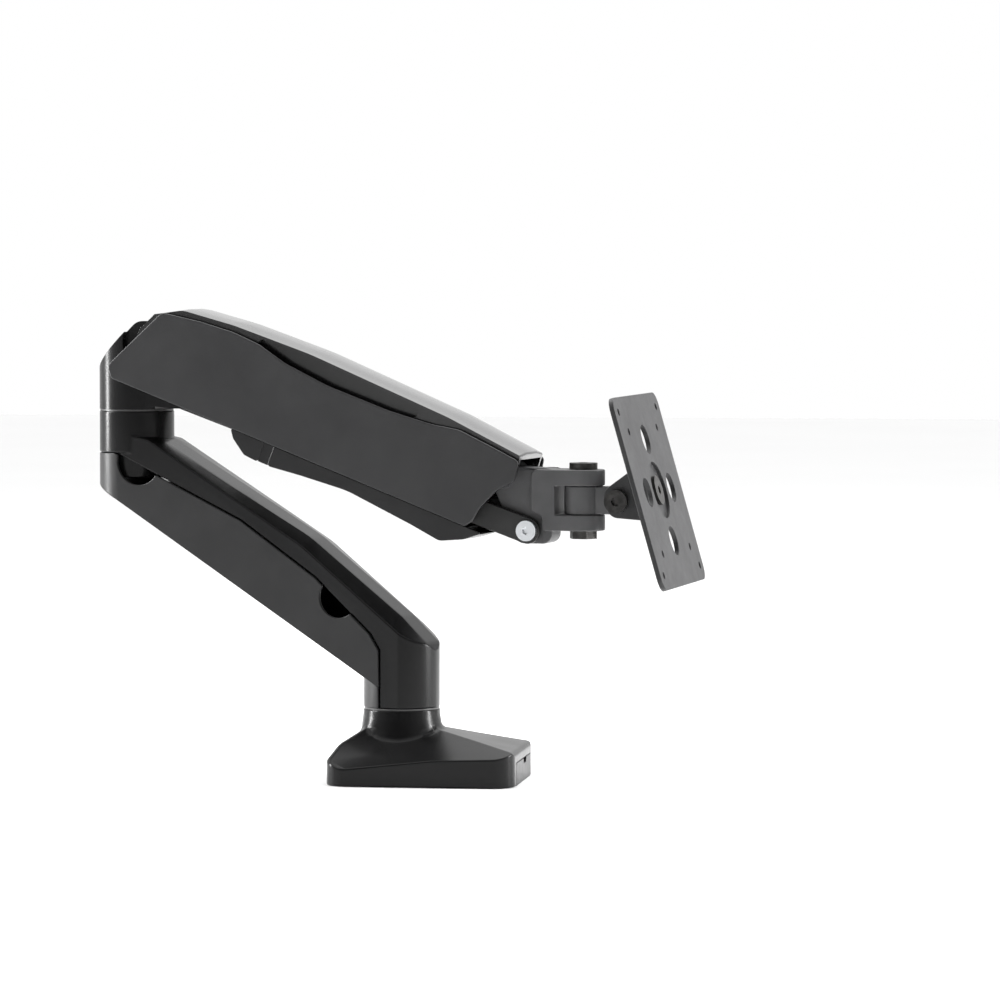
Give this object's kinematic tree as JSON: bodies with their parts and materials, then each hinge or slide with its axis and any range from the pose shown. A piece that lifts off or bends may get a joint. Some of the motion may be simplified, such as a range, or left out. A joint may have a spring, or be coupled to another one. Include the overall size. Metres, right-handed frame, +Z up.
{
  "type": "monitor arm",
  "caption": "Desk monitor arm: a sculpted foot, a raised swivelling lower arm and a gas-spring upper arm that carries a swivel, tilt and rotate plate for a display.",
  "frame": {"origin": "on the base swivel axis at the desk surface, where the grommet stud enters the spindle", "axes": "+Z up along the base swivel axis, +X towards the long front end of the foot, +Y to its left side"},
  "size_m": [0.3765, 0.1473, 0.2832],
  "materials": {
    "satin_black_casting": "die-cast aluminium, satin black powder coat",
    "gloss_black_casting": "die-cast aluminium, glossy black paint",
    "dark_link_casting": "die-cast aluminium, black coat",
    "grey_casting": "die-cast aluminium, matte dark grey coat",
    "textured_cover": "fine-textured dark grey moulded plastic",
    "satin_cover": "satin black moulded plastic",
    "slide_plastic": "black acetal slide rings and bushes",
    "black_steel": "pressed steel, black powder coat",
    "spring_tube": "steel tube, black paint",
    "steel": "turned steel",
    "zinc_screws": "bright zinc plate",
    "black_bolts": "black oxide steel",
    "chromed_rod": "hard chromed piston rod",
    "rubber_pad": "thin black rubber"
  },
  "bodies": {
    "base": {"base_casting": "satin_black_casting", "base_plate": "black_steel", "desk_pad": "rubber_pad", "base_plate_screws": "zinc_screws", "base_spindle": "steel", "base_wear_ring": "slide_plastic", "front_hatch": "satin_cover"},
    "lower_arm": {"lower_arm_casting": "satin_black_casting", "lower_cable_cover": "satin_cover", "base_bush_lower": "slide_plastic", "base_bush_upper": "slide_plastic", "elbow_bush_lower": "slide_plastic", "elbow_bush_upper": "slide_plastic", "elbow_wear_ring": "slide_plastic", "base_grub_screw": "zinc_screws", "elbow_grub_screw": "zinc_screws"},
    "elbow": {"elbow_bracket": "satin_black_casting", "elbow_spindle": "steel", "lift_pin": "steel", "link_rear_pins": "steel", "spring_rear_pin": "steel"},
    "upper_arm": {"arm_core": "gloss_black_casting", "lift_bushes": "slide_plastic", "side_cover_left": "textured_cover", "side_cover_right": "textured_cover", "spring_cylinder": "spring_tube", "spring_front_eye": "steel", "spring_front_pin": "steel", "head_pin": "steel"},
    "gas_spring_rod": {"spring_rod": "chromed_rod", "spring_slotted_end": "steel"},
    "link": {"link_bar": "dark_link_casting", "link_rear_shroud": "satin_cover", "link_clip": "satin_cover", "link_cover": "satin_cover", "link_front_screw": "zinc_screws", "link_front_nut": "zinc_screws"},
    "head": {"head_bracket": "grey_casting", "swivel_bolt": "black_bolts", "swivel_nut": "black_bolts"},
    "yoke": {"head_yoke": "grey_casting", "tilt_bolt": "black_bolts", "tilt_nut": "black_bolts", "tilt_washer_left": "slide_plastic", "tilt_washer_right": "slide_plastic"},
    "tilt": {"tilt_bracket": "black_steel", "plate_friction_disc": "slide_plastic", "plate_retaining_ring": "black_bolts", "plate_pivot_bolt": "black_bolts"},
    "plate": {"vesa_plate": "black_steel"}
  },
  "joints": [
    {"name": "base_swivel", "type": "hinge", "parent": "base", "child": "lower_arm", "pos_m": [0, 0, 0.0443], "axis": [0, 0, 1], "range_deg": [-90, 90]},
    {"name": "elbow_swivel", "type": "hinge", "parent": "lower_arm", "child": "elbow", "pos_m": [-0.17424, 0.05527, 0.2211], "axis": [0, 0, 1], "range_deg": [-170, 170]},
    {"name": "arm_lift", "type": "hinge", "parent": "elbow", "child": "upper_arm", "pos_m": [-0.15657, 0.05184, 0.263], "axis": [-0.1908, -0.9816, 0], "range_deg": [-9, 60]},
    {"name": "link_swing", "type": "hinge", "parent": "elbow", "child": "link", "pos_m": [-0.139, 0.04842, 0.2295], "axis": [-0.1908, -0.9816, 0], "range_deg": [-10, 61]},
    {"name": "head_level", "type": "hinge", "parent": "upper_arm", "child": "head", "pos_m": [0.06237, 0.00928, 0.18503], "axis": [-0.1908, -0.9816, 0], "range_deg": [-61, 10]},
    {"name": "spring_stroke", "type": "slide", "parent": "upper_arm", "child": "gas_spring_rod", "axis": [-0.9407, 0.1828, 0.2859], "range_m": [-0.0033, 0.0202]},
    {"name": "head_swivel", "type": "hinge", "parent": "head", "child": "yoke", "pos_m": [0.11046, -0.00007, 0.16998], "axis": [0, 0, 1], "range_deg": [-80, 80]},
    {"name": "head_tilt", "type": "hinge", "parent": "yoke", "child": "tilt", "pos_m": [0.13432, -0.00274, 0.16998], "axis": [-0.1115, -0.9938, 0], "range_deg": [-46, 24]},
    {"name": "plate_turn", "type": "hinge", "parent": "tilt", "child": "plate", "pos_m": [0.15724, -0.00532, 0.17659], "axis": [0.9553, -0.1072, 0.2756], "range_deg": [-180, 180]}
  ],
  "couplings": [
    {"joint": "link_swing", "follows": "arm_lift", "ratio": 1},
    {"joint": "head_level", "follows": "arm_lift", "ratio": -1},
    {"joint": "spring_stroke", "follows": "arm_lift", "m_per_rad": 0.019}
  ]
}
